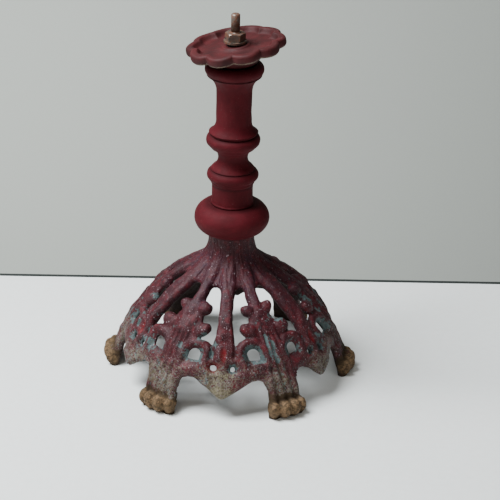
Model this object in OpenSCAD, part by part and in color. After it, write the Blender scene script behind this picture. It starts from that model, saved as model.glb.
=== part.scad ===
// Cast-iron pedestal stand: an openwork base on six clawed feet, a column of four
// turned castings stacked on one tie rod, and a loose lobed cap in the cup on top.
// Millimetres. +Z is up, the origin is on the floor under the column's axis, a
// foot points along +X and along -X, and a pendant point hangs on +Y and on -Y.

/* [Base casting] */
// Distance from the axis to the front of a paw
foot_reach = 105; // [88:0.5:126]
// Height of the seat on top of the neck
neck_top = 122; // [102:0.5:146]
// Radius of the neck
neck_r = 18; // [17:0.25:21]
// Thickness of the iron in the shell
wall = 5.5; // [4.5:0.25:6.5]
// Radius of the hollow curve under the neck
flare_r = 31; // [28:0.5:34]
// How far the toes stand out past the shell
toe_proud = 9.1; // [8:0.1:10]
// Slope of the shell where the hollow curve meets the dome, in degrees
shoulder_angle = 30; // [27:0.5:33]
// Width of the straight ribs over the pendants
rib_w = 9; // [6:0.5:10]
// Height of a rib above the shell
rib_rise = 2; // [1:0.25:3]
// Radius of the round lobes on each leg
lobe_r = 5; // [4:0.25:6]
// Radius of the two small holes in each pendant
pendant_hole_r = 2; // [1.5:0.25:2.5]
// Width of a leg at the ankle
leg_w = 30; // [26:0.5:32]
// Radius of a toe
toe_r = 7.2; // [6.5:0.1:8]

/* [Column] */
// Height of the round knop
knop_h = 24; // [20:0.5:28]
// Radius of the knop
knop_r = 30; // [27:0.5:33]
// Radius of the drum
drum_r = 16.5; // [15.5:0.25:18]
// Height of the drum casting, to the groove on its bead
drum_h = 29.5; // [25:0.5:35]
// Radius of the lower bead
lower_bead_r = 20.4; // [19.5:0.1:22]
// Radius of the waist
waist_r = 11.8; // [11.4:0.1:13]
// Height of the waist casting, to the groove on its bead
waist_h = 29.5; // [28:0.5:36]
// Radius of the upper bead
upper_bead_r = 21.6; // [20.5:0.1:23]
// Radius of the shaft
shaft_r = 14; // [13:0.25:15]
// Height of the shaft casting, to the cup's rim
shaft_h = 59; // [52:0.5:70]
// Radius of the cup
cup_r = 23.2; // [22:0.1:25]
// Radius of the cored hole through the column
core_r = 7; // [6:0.25:7.5]
// Radius of the register that centres each casting on the next
register_r = 9.2; // [8.8:0.1:9.6]
// Height of the register
register_h = 3; // [2:0.25:4]
// Clearance round the register
register_gap = 0.25; // [0.1:0.05:0.4]

/* [Lobed cap] */
// Number of lobes
lobes = 10; // [8:1:12]
// Distance from the cap's centre to the tip of a lobe
cap_reach = 39; // [36:0.5:44]
// Radius of the curve round one lobe
cap_lobe_r = 14; // [12:0.5:17]
// Height of the cap's lobed edge
cap_edge_h = 8; // [7:0.25:10]
// Thickness of the cap's floor
cap_floor_t = 4; // [3:0.25:5]
// Radius of the boss round the hole in the cap's floor
cap_boss_r = 11.5; // [11.5:0.25:13]
// Height of that boss above the floor
cap_boss_h = 1.2; // [0.8:0.1:1.6]
// Height of the cap's underside above the cup's rim, on the axis
cap_lift = 9.6; // [8:0.2:11]
// Angle at which the loose cap leans
cap_lean = 9; // [4:0.5:10]
// Radius of the ball-shaped belly that sits in the cup
belly_r = 24; // [22:0.5:26]
// Inside radius of the cup
cup_bore_r = 16.5; // [16:0.1:17]
// Depth of the cup
cup_depth = 11; // [10:0.5:12]

/* [Rod and fasteners] */
// Radius of the tie rod
rod_r = 4; // [3:0.25:4.5]
// Clearance between the rod and the drilled webs
rod_gap = 0.5; // [0.3:0.05:0.8]
// Width of a nut across its flats
nut_af = 14; // [13:0.5:14.5]
// Thickness of a nut
nut_t = 6; // [5:0.25:6.5]
// Radius of the washers in the cup and on the cap
washer_r = 9; // [8.5:0.25:9.5]
// Thickness of those washers
washer_t = 1.6; // [1.2:0.1:2]
// Radius of the clamp plate under the neck
plate_r = 11.5; // [11:0.1:12]
// Thickness of the clamp plate
plate_t = 4; // [3:0.25:5]
// Radius of the turned pin on the rod's top end
rod_end_r = 3.5; // [2.5:0.25:3.75]
// Length of that pin
rod_end = 14; // [10:0.5:20]

/* [Hidden] */
$fn = 96;

paint = [0.42, 0.10, 0.14];
bare_iron = [0.45, 0.34, 0.24];
steel = [0.38, 0.34, 0.31];

sectors = 6;
sector = 360 / sectors;
eps = 0.01;
far = 200;
touch = 0.3;

// Base: a hollow curve under the neck that runs tangentially into a large round dome
neck_h = 5;
flare_z = neck_top - neck_h;
flare_sweep = 90 - shoulder_angle;
shoulder_r = neck_r + flare_r * (1 - cos(flare_sweep));
shoulder_z = flare_z - flare_r * sin(flare_sweep);
// The dome's radius is the one that brings it from the shoulder down to the toes
toe_z = toe_r - 0.7;
fall = shoulder_z - toe_z;
spread = foot_reach - toe_proud - shoulder_r;
dome_r = (pow(spread, 2) + pow(fall, 2))
    / (2 * (fall * cos(shoulder_angle) - spread * sin(shoulder_angle)));
dome_x = shoulder_r - dome_r * sin(shoulder_angle);
dome_z = shoulder_z - dome_r * cos(shoulder_angle);
// Places in plan were laid out for this reach, and follow the one above
layout_reach = 105;
in_plan = foot_reach / layout_reach;
arc_steps = 10;
web_t = 6;
web_z = neck_top - register_h - 1 - web_t;

function flare_at(a, rise) = [neck_r + flare_r - (flare_r - rise) * cos(a),
                              flare_z - (flare_r - rise) * sin(a)];
function dome_at(a, rise) = [dome_x + (dome_r + rise) * sin(a), dome_z + (dome_r + rise) * cos(a)];
function flare_arc(rise) = [for (i = [0 : arc_steps]) flare_at(flare_sweep * i / arc_steps, rise)];
function dome_arc(rise, from, to) =
    [for (i = [0 : arc_steps]) dome_at(from + (to - from) * i / arc_steps, rise)];
function reversed(list) = [for (i = [len(list) - 1 : -1 : 0]) list[i]];
// Height of the dome's outside at a distance from the axis
function dome_height(r) = dome_z + sqrt(pow(dome_r, 2) - pow(r - dome_x, 2));
// Slope of the dome's outside at a height, in degrees
function slope_at(z) = acos((z - dome_z) / dome_r);

// Column: each casting starts where the one below ends
drum_z = neck_top + knop_h;
waist_z = drum_z + drum_h;
shaft_z = waist_z + waist_h;
rim_z = shaft_z + shaft_h;
floor_z = rim_z - cup_depth;
knop_tube_r = knop_h / 2;
knop_centre_r = knop_r - knop_tube_r;
bead_tube_r = 4.6;
rod_hole_r = rod_r + rod_gap;

// Cap: its belly is a ball in the cup's mouth, and the cap leans about the ball's centre
pivot_z = rim_z + sqrt(pow(belly_r + touch, 2) - pow(cup_bore_r, 2));
cap_drop = (pivot_z - rim_z - cap_lift) / cos(cap_lean);
belly_drop = pivot_z - rim_z + 1;
belly_hollow_r = 11;
cap_bore_r = rod_r + cap_drop * sin(cap_lean) + 0.6;
cap_centre_r = cap_reach - cap_lobe_r;
dish_r = cap_reach - 9;

// Fasteners
plate_z = web_z - plate_t;
bottom_nut_z = plate_z - nut_t;
cup_nut_z = floor_z + washer_t;
boss_top = cap_floor_t + cap_boss_h;
cap_washer_z = rim_z + cap_lift + boss_top / cos(cap_lean) + washer_r * tan(cap_lean) + touch;
cap_nut_z = cap_washer_z + washer_t;
rod_top = cap_nut_z + nut_t + 1;
rod_bottom = bottom_nut_z - 6;

// The shell's section: neck, web for the clamp plate, hollow curve and dome
module shell() {
    shell_end = slope_at(toe_r / 6);
    rotate_extrude() polygon(concat(
        [[rod_hole_r, web_z], [rod_hole_r, web_z + web_t], [register_r + register_gap, web_z + web_t],
         [register_r + register_gap, neck_top], [neck_r, neck_top]],
        flare_arc(0),
        dome_arc(0, shoulder_angle + 1, shell_end),
        reversed(dome_arc(-wall, shoulder_angle + 1, shell_end)),
        reversed(flare_arc(-wall)),
        [[neck_r - wall, web_z]]));
}

// A skin of the given rise on the dome between two slopes
module skin(rise, from, to) {
    rotate_extrude() polygon(concat(
        dome_arc(rise, from, to), reversed(dome_arc(-wall / 2, from, to))));
}

// The same thing on every leg, or on every pendant with turn = half a sector
module around(turn = 0) {
    for (i = [0 : sectors - 1]) rotate([0, 0, sector * i + turn]) children();
}

// A bar that runs outwards along +X, with side as its sideways place
module bar(width, side = 0) {
    translate([0, side - width / 2, 0]) cube([far, width, far]);
}

// Upper gap between a leg's spoke and the straight rib, drawn in plan
module spoke_gap() {
    translate([0, 0, 40]) linear_extrude(height = shoulder_z - 30) polygon([
        for (p = [[38, 12], [41, 7.5], [49, 7], [58, 9], [64, 14], [70, 19], [74, 22.5],
                  [71, 25.4], [56, 24.2], [44, 21.8], [38, 17]])
            in_plan * p[0] * [cos(p[1]), sin(p[1])]]);
}

// Arched opening of the scroll beside the leg
module scroll_gap() {
    scroll_gap_r = 6.5;
    scroll_sill = 42.5;
    rotate([0, 0, 12.6]) intersection() {
        translate([50, 0, scroll_sill + 5]) rotate([0, 90, 0]) cylinder(r = scroll_gap_r, h = 50);
        translate([50, -far / 2, scroll_sill]) cube([50, far, 40]);
    }
}

// Everything below the lower edge, from one leg to the next, seen along the pendant
module arch_gap() {
    leg_edge = (foot_reach - 11) * sin(sector / 2) - leg_w / 2 * cos(sector / 2);
    half = [[0, 18.5], [3, 19.5], [9, 25], [15, 29.5], [20, 31.5], [25, 30.5], [leg_edge - 5.5, 26.5],
            [leg_edge - 3, 21], [leg_edge - 1.5, 14], [leg_edge, -1]];
    rotate([90, 0, 90]) linear_extrude(height = far)
        polygon(concat(half, [for (p = reversed(half)) [-p[0], p[1]]]));
}

module paw() {
    toe_gap = 6.4;
    for (i = [-1.5 : 1 : 1.5]) {
        translate([foot_reach - toe_r - 0.8 * abs(abs(i) - 0.5), toe_gap * i, toe_z])
            sphere(r = toe_r);
    }
}

module leg_lobes() {
    upper_turn = 10.5;
    lower_turn = 15.5;
    upper_r = 53.2 * in_plan;
    lower_r = 65.6 * in_plan;
    for (s = [-1, 1]) {
        rotate([0, 0, s * upper_turn]) translate([upper_r, 0, dome_height(upper_r)]) sphere(r = lobe_r);
        rotate([0, 0, s * lower_turn]) translate([lower_r, 0, dome_height(lower_r) - 1])
            sphere(r = lobe_r);
    }
}

module base_casting() {
    rib_end_z = 50;
    flute_top = 38;
    flute_w = 4.5;
    flute_pitch = (leg_w - flute_w) / 3;
    color(paint) difference() {
        union() {
            difference() {
                shell();
                around() spoke_gap();
                around() mirror([0, 1, 0]) spoke_gap();
                around() scroll_gap();
                around() mirror([0, 1, 0]) scroll_gap();
                around(sector / 2) arch_gap();
            }
            intersection() {
                skin(rib_rise, shoulder_angle + 4, slope_at(rib_end_z));
                around(sector / 2) bar(rib_w);
            }
            intersection() {
                skin(rib_rise, slope_at(flute_top), slope_at(toe_z - 1));
                around() for (i = [-1.5 : 1 : 1.5]) bar(flute_w, flute_pitch * i);
            }
            around() leg_lobes();
            around() paw();
        }
        around(sector / 2) for (s = [-1, 1]) {
            translate([60, s * 7, 39]) rotate([0, 90, 0]) cylinder(r = pendant_hole_r, h = 60);
        }
        translate([-far, -far, -far]) cube([2 * far, 2 * far, far]);
    }
}

// Register under a casting: fits the socket of the one below
module register() {
    translate([0, 0, -register_h]) cylinder(r = register_r, h = register_h + eps);
}

module socket() {
    translate([0, 0, -register_h - 1]) cylinder(r = register_r + register_gap, h = register_h + 1 + eps);
}

module core(height) {
    translate([0, 0, -far / 2]) cylinder(r = core_r, h = height + far);
}

module knop_collar() {
    color(paint) translate([0, 0, neck_top]) difference() {
        union() {
            translate([0, 0, knop_tube_r]) rotate_extrude() {
                translate([knop_centre_r, 0]) circle(r = knop_tube_r);
                translate([0, -knop_tube_r]) square([knop_centre_r, knop_h]);
            }
            register();
        }
        core(knop_h);
        translate([0, 0, knop_h]) socket();
    }
}

module drum_section() {
    bead_z = drum_h - bead_tube_r;
    fillet = 0.9;
    color(paint) translate([0, 0, drum_z]) difference() {
        union() {
            rotate_extrude() {
                square([drum_r, drum_h]);
                translate([0, bead_z - 6.2]) square([drum_r + fillet, 3]);
                translate([lower_bead_r - bead_tube_r, bead_z]) circle(r = bead_tube_r);
            }
            register();
        }
        core(drum_h);
        translate([0, 0, drum_h]) socket();
    }
}

// A waist hollowed by one round curve, between a flared foot and the bead above
module waist_section() {
    foot_r = 17.6;
    flange_r = 19.6;
    bead_z = waist_h - bead_tube_r;
    middle = 10;
    hollow_r = 9;
    color(paint) translate([0, 0, waist_z]) difference() {
        union() {
            rotate_extrude() difference() {
                union() {
                    square([foot_r, middle]);
                    translate([0, middle]) square([flange_r, bead_z - middle]);
                    square([upper_bead_r - bead_tube_r, waist_h]);
                    translate([upper_bead_r - bead_tube_r, bead_z]) circle(r = bead_tube_r);
                }
                translate([waist_r + hollow_r, middle]) circle(r = hollow_r);
            }
            register();
        }
        core(waist_h);
        translate([0, 0, waist_h]) socket();
    }
}

module shaft_cup_section() {
    foot_r = 18.4;
    foot_flare_r = 10;
    bulge_r = 5;
    bulge_z = shaft_h - bulge_r;
    lip_z = bulge_z - 6;
    cup_flare_r = 16;
    color(paint) translate([0, 0, shaft_z]) difference() {
        union() {
            rotate_extrude() {
                square([shaft_r, shaft_h]);
                difference() {
                    square([foot_r, foot_flare_r]);
                    translate([shaft_r + foot_flare_r, foot_flare_r + 1]) circle(r = foot_flare_r);
                }
                difference() {
                    translate([0, lip_z - 12.6]) square([cup_r - 2.6, 12.6]);
                    translate([shaft_r + cup_flare_r, lip_z - 12.6]) circle(r = cup_flare_r);
                }
                translate([cup_r - bulge_r, bulge_z]) circle(r = bulge_r);
                translate([0, lip_z]) square([cup_r - 2.6, bulge_z - lip_z]);
                translate([0, lip_z]) square([cup_r - bulge_r, shaft_h - lip_z]);
            }
            register();
        }
        translate([0, 0, -register_h - eps])
            cylinder(r = core_r, h = shaft_h - cup_depth - web_t + register_h);
        cylinder(r = rod_hole_r, h = far);
        translate([0, 0, shaft_h - cup_depth]) cylinder(r = cup_bore_r, h = far);
    }
}

// A shallow dish with a lobed edge, over a hollow belly shaped as part of a ball
module lobed_cap() {
    color(paint) translate([0, 0, pivot_z]) rotate([0, -cap_lean, 0]) difference() {
        union() {
            translate([0, 0, -cap_drop]) linear_extrude(height = cap_edge_h) union() {
                circle(r = cap_reach - cap_lobe_r / 2);
                for (i = [0.5 : 1 : lobes - 0.5]) rotate([0, 0, -90 + 360 / lobes * i])
                    translate([cap_centre_r, 0]) circle(r = cap_lobe_r);
            }
            intersection() {
                sphere(r = belly_r);
                translate([0, 0, -belly_drop]) cylinder(r = far, h = belly_drop - cap_drop + eps);
            }
        }
        translate([0, 0, -belly_drop - eps]) cylinder(r = belly_hollow_r, h = belly_drop - cap_drop + eps);
        translate([0, 0, -belly_drop]) cylinder(r = cap_bore_r, h = far);
        translate([0, 0, cap_floor_t - cap_drop]) difference() {
            cylinder(r = dish_r, h = far);
            translate([0, 0, -eps]) cylinder(r = cap_boss_r, h = cap_boss_h + eps);
        }
    }
}

module tie_rod() {
    color(steel) {
        translate([0, 0, rod_bottom]) cylinder(r = rod_r, h = rod_top - rod_bottom);
        translate([0, 0, rod_top - eps]) cylinder(r = rod_end_r, h = rod_end + eps);
    }
}

module washer(outer, thickness) {
    difference() {
        cylinder(r = outer, h = thickness);
        translate([0, 0, -eps]) cylinder(r = rod_hole_r, h = thickness + 2 * eps);
    }
}

// Hexagon nut with its corners chamfered on both faces
module nut() {
    nut_bore_r = rod_r + 0.05;
    corner_r = nut_af / sqrt(3);
    chamfer = 0.8;
    difference() {
        intersection() {
            cylinder(r = corner_r, h = nut_t, $fn = 6);
            rotate_extrude($fn = 96) polygon([[0, 0], [corner_r - chamfer, 0], [corner_r + 0.1, chamfer],
                [corner_r + 0.1, nut_t - chamfer], [corner_r - chamfer, nut_t], [0, nut_t]]);
        }
        translate([0, 0, -eps]) cylinder(r = nut_bore_r, h = nut_t + 2 * eps);
    }
}

module clamp_plate() {
    color(steel) translate([0, 0, plate_z]) washer(plate_r, plate_t);
}

module bottom_nut() {
    color(steel) translate([0, 0, bottom_nut_z]) nut();
}

module cup_washer() {
    color(steel) translate([0, 0, floor_z]) washer(washer_r, washer_t);
}

module cup_nut() {
    color(steel) translate([0, 0, cup_nut_z]) nut();
}

module cap_washer() {
    color(steel) translate([0, 0, cap_washer_z]) washer(washer_r, washer_t);
}

module cap_nut() {
    color(steel) translate([0, 0, cap_nut_z]) nut();
}

base_casting();
knop_collar();
drum_section();
waist_section();
shaft_cup_section();
lobed_cap();
tie_rod();
clamp_plate();
bottom_nut();
cup_washer();
cup_nut();
cap_washer();
cap_nut();
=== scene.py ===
"""Painted cast-iron pedestal stand: an openwork base on six paws, a turned column and a loose lobed cap.

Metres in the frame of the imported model: +Z is up, a paw points along +X and a pendant along -Y.
Shapes are worked out in millimetres and scaled as they become meshes.
"""
import math

import bpy
import numpy as np
from mathutils import Matrix, Vector


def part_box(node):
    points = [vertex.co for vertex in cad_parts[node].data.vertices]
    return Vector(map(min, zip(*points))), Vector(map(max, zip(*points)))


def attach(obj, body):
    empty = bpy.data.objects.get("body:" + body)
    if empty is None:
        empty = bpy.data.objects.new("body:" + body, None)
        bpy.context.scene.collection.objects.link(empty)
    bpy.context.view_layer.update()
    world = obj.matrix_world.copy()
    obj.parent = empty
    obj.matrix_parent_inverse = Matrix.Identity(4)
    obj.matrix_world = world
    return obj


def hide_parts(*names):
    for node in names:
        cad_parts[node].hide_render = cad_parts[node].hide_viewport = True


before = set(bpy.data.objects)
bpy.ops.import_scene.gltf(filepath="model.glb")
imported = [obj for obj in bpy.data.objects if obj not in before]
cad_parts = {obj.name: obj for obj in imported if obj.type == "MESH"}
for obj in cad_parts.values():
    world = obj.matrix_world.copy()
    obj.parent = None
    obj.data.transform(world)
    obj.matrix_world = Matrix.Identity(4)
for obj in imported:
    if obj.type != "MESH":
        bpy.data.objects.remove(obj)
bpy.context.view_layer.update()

bl_info = {
    "name": "Cast-Iron Pedestal Stand",
    "version": (1, 0, 0),
    "blender": (4, 5, 0),
    "location": "3D View > Sidebar > Stand",
    "description": "Builds the painted castings of an antique pedestal stand and its plain studio",
    "category": "Object",
}

MM = 0.001
TAU = 2 * math.pi
SECTOR = math.radians(60)
MID_SPOKE_HALF = 6.6
# The socket on top of each casting, and the rod's hole through a floor
SOCKET_R = 9.45
ROD_HOLE_R = 4.5


def linear(code):
    """Turns an sRGB hex code into linear red, green and blue."""
    parts = [int(code[i:i + 2], 16) / 255 for i in (0, 2, 4)]
    return tuple(c / 12.92 if c <= 0.04045 else ((c + 0.055) / 1.055) ** 2.4 for c in parts)


def node_mm(name):
    """Lowest and highest corners of a CAD node, in millimetres."""
    low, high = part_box(name)
    return np.array(low) / MM, np.array(high) / MM


BASE_LOW, BASE_HIGH = node_mm("base_casting")
REACH, NECK_TOP = BASE_HIGH[0], BASE_HIGH[2]
KNOP_R = node_mm("knop_collar")[1][0]
KNOP_TOP = node_mm("knop_collar")[1][2]
DRUM_TOP = node_mm("drum_section")[1][2]
LOWER_BEAD_R = node_mm("drum_section")[1][0]
WAIST_TOP = node_mm("waist_section")[1][2]
UPPER_BEAD_R = node_mm("waist_section")[1][0]
RIM = node_mm("shaft_cup_section")[1][2]
CUP_R = node_mm("shaft_cup_section")[1][0]
ROD_LOW, ROD_HIGH = node_mm("tie_rod")


# -------- Sizes and colours that a user would change --------

def length(name, description, default, low, high):
    """A length that a user sets, given in millimetres and kept in metres."""
    return bpy.props.FloatProperty(name=name, description=description, default=default * MM,
                                   min=low * MM, max=high * MM, unit="LENGTH")


def tint(name, description, code):
    """A colour that a user sets, given as an sRGB hex code."""
    return bpy.props.FloatVectorProperty(name=name, description=description, subtype="COLOR",
                                         size=3, min=0, max=1, default=linear(code))


class StandSizes(bpy.types.PropertyGroup):
    """Sizes of the castings' ornament, in metres."""
    mid_spoke: length("Pendant spoke", "Half width of the spoke above each pendant", MID_SPOKE_HALF, 4, 8)
    leg_spoke: length("Leg spoke", "Half width of the spoke above each leg", 5.4, 3, 7)
    lobe: length("Lobe", "Radius of the round lobes beside each leg", 5.5, 4, 6.5)
    relief: length("Relief", "Height of spokes and lobes above the shell", 2.7, 1, 4)
    lumps: length("Lumps", "Unevenness of the sand-cast surface", 0.16, 0, 0.5)
    thread_pitch: length("Thread pitch", "Rise of the rod's thread in one turn", 1.25, 1, 2)


class StandColours(bpy.types.PropertyGroup):
    """Colours of the paint layers, the iron and the studio."""
    red: tint("Column red", "Matt dark red of the column", "460e15")
    maroon: tint("Base red", "Weathered red of the openwork base", "3a1016")
    # This colour is a painted sheen: the greyish purple that light glancing off the upper shell gives the
    # red
    painted_sheen: tint("Painted sheen", "Greyish purple chalking on the upper shell", "2f1420")
    undercoat: tint("Undercoat", "Pale blue-green paint under the red", "51625f")
    tan: tint("Bare iron", "Tan rust on the worn paws and pendants", "56452f")
    steel: tint("Old steel", "Dull steel of the rod, nuts and washers", "6b625a")
    floor: tint("Floor", "Pale table top", "eceeeb")
    board: tint("Backdrop", "Grey board behind the stand", "aeb1ad")


# -------- Mesh helpers --------

def make_mesh(name, points, quads, marks=None, fans=None):
    """Puts an (n, 3) array of millimetre points and an (m, 4) array of quads into a new object.

    marks holds one array of n numbers for each named attribute that a material reads. fans is a
    (k, 3) array of the triangles that close a pole.
    """
    mesh = bpy.data.meshes.new(name)
    mesh.vertices.add(len(points))
    mesh.vertices.foreach_set("co", (np.asarray(points, np.float32) * MM).ravel())
    fans = np.zeros((0, 3), int) if fans is None else fans
    corners = np.concatenate([quads.ravel(), fans.ravel()]).astype(np.int32)
    starts = np.concatenate([np.arange(0, quads.size, 4), quads.size + np.arange(0, fans.size, 3)])
    mesh.loops.add(len(corners))
    mesh.loops.foreach_set("vertex_index", corners)
    mesh.polygons.add(len(starts))
    mesh.polygons.foreach_set("loop_start", starts.astype(np.int32))
    mesh.update(calc_edges=True)
    mesh.polygons.foreach_set("use_smooth", np.ones(len(starts), bool))
    for label, values in (marks or {}).items():
        layer = mesh.attributes.new(label, "FLOAT", "POINT")
        layer.data.foreach_set("value", np.asarray(values, np.float32).ravel())
    piece = bpy.data.objects.new(name, mesh)
    bpy.context.scene.collection.objects.link(piece)
    return piece


def grid_quads(rows, columns, closed_rows=False):
    """Quads of a grid whose columns run round a full turn; faces look out where rows run down."""
    down = np.arange(rows if closed_rows else rows - 1)[:, None]
    turn = np.arange(columns)[None, :]
    below, beside = (down + 1) % rows, (turn + 1) % columns
    corners = (down * columns + turn, below * columns + turn,
               below * columns + beside, down * columns + beside)
    return np.stack(np.broadcast_arrays(*corners), -1).reshape(-1, 4)


def arc(centre, radius, start, end, steps=16):
    """Points on a circle of the given radius from the start angle to the end angle, in degrees."""
    a = np.radians(np.linspace(start, end, steps + 1))
    return np.stack([centre[0] + radius * np.cos(a), centre[1] + radius * np.sin(a)], 1)


def fill_in(outline, step):
    """A closed outline with points added evenly along each edge that is longer than the step."""
    following = np.roll(outline, -1, axis=0)
    counts = np.maximum(np.ceil(np.linalg.norm(following - outline, axis=1) / step), 1).astype(int)
    start = np.repeat(np.arange(len(outline)), counts)
    place = np.arange(counts.sum()) - np.repeat(np.cumsum(counts) - counts, counts)
    part = (place / counts[start])[:, None]
    return outline[start] * (1 - part) + following[start] * part


def lumps(shape, cells, seed):
    """White noise on a grid, blurred by a bell curve a given number of cells wide, to unit spread."""
    rows, columns = shape
    noise = np.fft.rfft2(np.random.default_rng(seed).standard_normal((rows, columns)))
    across = np.fft.fftfreq(rows)[:, None]
    along = np.fft.rfftfreq(columns)[None, :]
    soft = np.fft.irfft2(noise * np.exp(-2 * (math.pi * cells) ** 2 * (across ** 2 + along ** 2)),
                         s=(rows, columns))
    return soft / soft.std()


def bulge(depth, width):
    """A quarter circle that rises from 0 at the edge to 1 at the given width inside it."""
    return np.sqrt(1 - (1 - np.clip(depth / width, 0, 1)) ** 2)


def smooth_max(a, b, soft):
    """The larger of two fields, with the crease between them rounded over a soft width."""
    h = np.clip(0.5 + 0.5 * (a - b) / soft, 0, 1)
    return b + (a - b) * h + soft * h * (1 - h)


def smooth_step(low, high, value):
    """0 below low, 1 above high, and an even S between them."""
    t = np.clip((value - low) / (high - low), 0, 1)
    return t * t * (3 - 2 * t)


def finish_piece(piece, node, body, material):
    """Gives a new piece its material and its body, and lets it stand for a CAD node."""
    piece.data.materials.append(material)
    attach(piece, body)
    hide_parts(node)
    return piece


# -------- Openwork base --------

# The shell's line: a neck, a hollow flare and a dome that ends under the toes, in millimetres
NECK_R = 18.0
NECK_H = 5.0
FLARE_R = 31.0
FLARE_SWEEP = math.radians(60)
TOE_R = 7.2
TOE_PROUD = 9.1
TOE_PITCH = 8.0
TOE_SQUEEZE = 1.36
TOE_Z = TOE_R - 0.7
SHOULDER_R = NECK_R + FLARE_R * (1 - math.cos(FLARE_SWEEP))
SHOULDER_Z = NECK_TOP - NECK_H - FLARE_R * math.sin(FLARE_SWEEP)
SHOULDER_S = NECK_H + FLARE_R * FLARE_SWEEP
FALL = SHOULDER_Z - TOE_Z
SPREAD = REACH - TOE_PROUD - SHOULDER_R
LEAN = math.pi / 2 - FLARE_SWEEP
DOME_R = (SPREAD ** 2 + FALL ** 2) / (2 * (FALL * math.cos(LEAN) - SPREAD * math.sin(LEAN)))
DOME_X = SHOULDER_R - DOME_R * math.sin(LEAN)
DOME_Z = SHOULDER_Z - DOME_R * math.cos(LEAN)
# Where the shell's surface meets the floor, and a little more for the soles
SOLE_MARGIN = 3.2
END_S = SHOULDER_S + DOME_R * (math.acos(-DOME_Z / DOME_R) - LEAN) + SOLE_MARGIN


def shell_line(s):
    """The shell's outside at arc length s from the neck's top.

    A straight neck, then a hollow circle that turns through 60 degrees, then a large circle
    that runs on in the same direction. Returns radius, height and the outward normal's parts.
    """
    a = np.clip((s - NECK_H) / FLARE_R, 0, FLARE_SWEEP)
    t = LEAN + np.maximum(s - SHOULDER_S, 0) / DOME_R
    on_dome = s > SHOULDER_S
    radius = np.where(on_dome, DOME_X + DOME_R * np.sin(t), NECK_R + FLARE_R * (1 - np.cos(a)))
    height = np.where(on_dome, DOME_Z + DOME_R * np.cos(t),
                      NECK_TOP - np.minimum(s, NECK_H) - FLARE_R * np.sin(a))
    out = np.where(on_dome, np.sin(t), np.cos(a))
    up = np.where(on_dome, np.cos(t), np.sin(a))
    return radius, height, out, up


# Stations down the shell, as arc lengths from the neck's top, and the half widths there
STEM = ([58, 64, 70, 76], [8, 8.6, 10.4, 12.5])
LEG_PANEL = ([68, 74, 80, 86, 92, 98, 106, 114, 134, 141, 160],
             [9.5, 10.5, 14.5, 15.5, 13, 10.8, 11.2, 12.4, 13.6, 16, 16])
LEG_FAN = ([70, 95, 114, 136, 160], [7.5, 10, 14, 15.4, 16])
MID_SPOKE = ([14, 40, 60, 80, 96], [4.4, 6.8, 7.1, 7.4, 8.0])
SHIELD = ([84, 90, 97, 104, 112, 140], [3, 7, 8, 12, 13.5, 13.5])
# Lower edge between two legs: distance from the pendant's middle, and height above the floor
LOWER_EDGE = ([0, 1.5, 4, 9, 14, 18, 22, 26, 30, 32.5, 34, 35.5, 60],
              [18.2, 18.5, 20.2, 23.6, 26.8, 29.2, 31.2, 31.6, 29.5, 25, 18, -1, -9])
# Places as a distance from a middle line and an arc length, followed by radii
UPPER_LOBE = (8.7, 61.5)
LOWER_LOBE = (15.2, 79.0)
LOWER_LOBE_EXTRA = 0.8
SCROLL = (17.4, 98.8, 4.7)
SCROLL_BAR_R = 13.4
SCROLL_RING = (10.2, 3.6)
PENDANT_HOLE = (7.1, 109.0, 2.2)
DIMPLE_R = 6.2
GOUGE = (0.0, 98.5, 3.0, 7.5)
POCKET = (8.2, 98.0, 3.0)
# Arc lengths where parts of the ornament start or stop
NECK_END = 41.5
LEG_SPOKE_END, MID_SPOKE_END = 66.0, 108.0
STEM_START, STEM_END = 57.0, 84.0
PANEL_START = 70.0
SHIELD_START = 84.0
SCROLL_SILL, SILL_START, SCROLL_BAR_END = 103.6, 103.0, 116.0
LOW_BAR = (112.0, 4.6)
FLUTE_PITCH = 0.467
FLUTED = 0.94
# How far, in degrees, the two legs beside the front pendant swing away from it down their length
FRONT_SPREAD = ([30, 48, 64, 90, 130], [0, -4.2, -2.6, 0.4, 2.9])


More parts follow.
